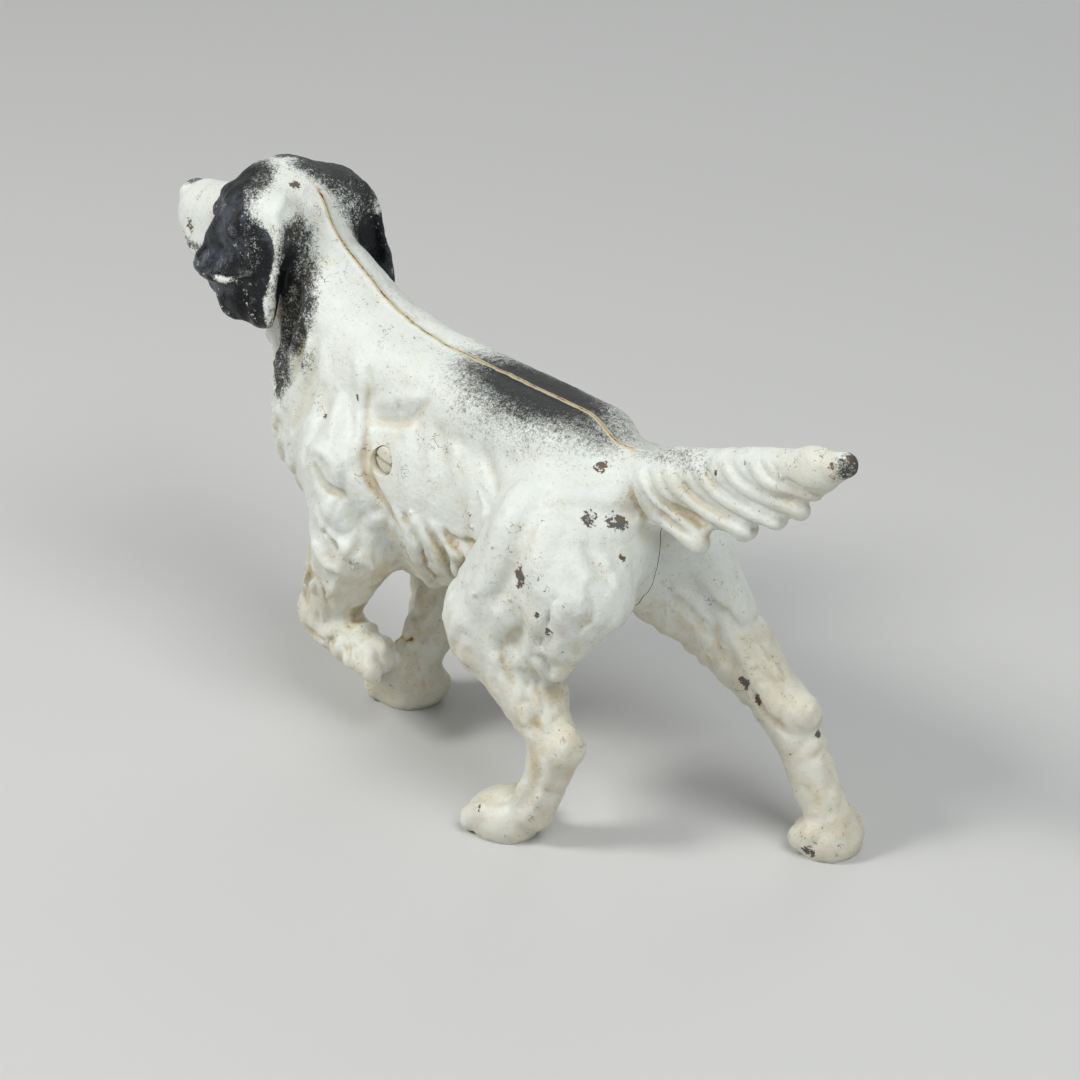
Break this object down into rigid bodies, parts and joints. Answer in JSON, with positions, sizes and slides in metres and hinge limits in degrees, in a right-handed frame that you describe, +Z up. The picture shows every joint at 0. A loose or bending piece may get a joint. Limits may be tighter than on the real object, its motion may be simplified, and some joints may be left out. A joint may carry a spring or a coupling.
{
  "type": "cast iron dog bank",
  "caption": "Hollow cast iron pointing setter in left and right castings, clamped by a screw through the ribs into a square nut.",
  "frame": {"origin": "on the floor, under the middle of the figure's bounding box", "axes": "+X the way the dog looks, +Y its left side, +Z up; the castings part at y = 0"},
  "size_m": [0.3884, 0.1129, 0.2289],
  "materials": {
    "painted_iron": "old cream enamel, sprayed black on the back, ears and tail tip, crackled and chipped to the iron",
    "painted_screw": "enamelled over with the casting, worn to dull steel at the slot and on the thread",
    "bare_nut": "dull dark steel with a little rust"
  },
  "bodies": {
    "left_casting": {"left_half": "painted_iron"},
    "right_casting": {"right_half": "painted_iron", "square_nut": "bare_nut"},
    "screw": {"clamp_screw": "painted_screw"}
  },
  "joints": [
    {"name": "right_casting_lifts_off", "type": "slide", "parent": "left_casting", "child": "right_casting", "axis": [0, -1, 0], "range_m": [0, 0.09]},
    {"name": "screw_comes_out", "type": "slide", "parent": "left_casting", "child": "screw", "axis": [0, 1, 0], "range_m": [0, 0.075]}
  ]
}
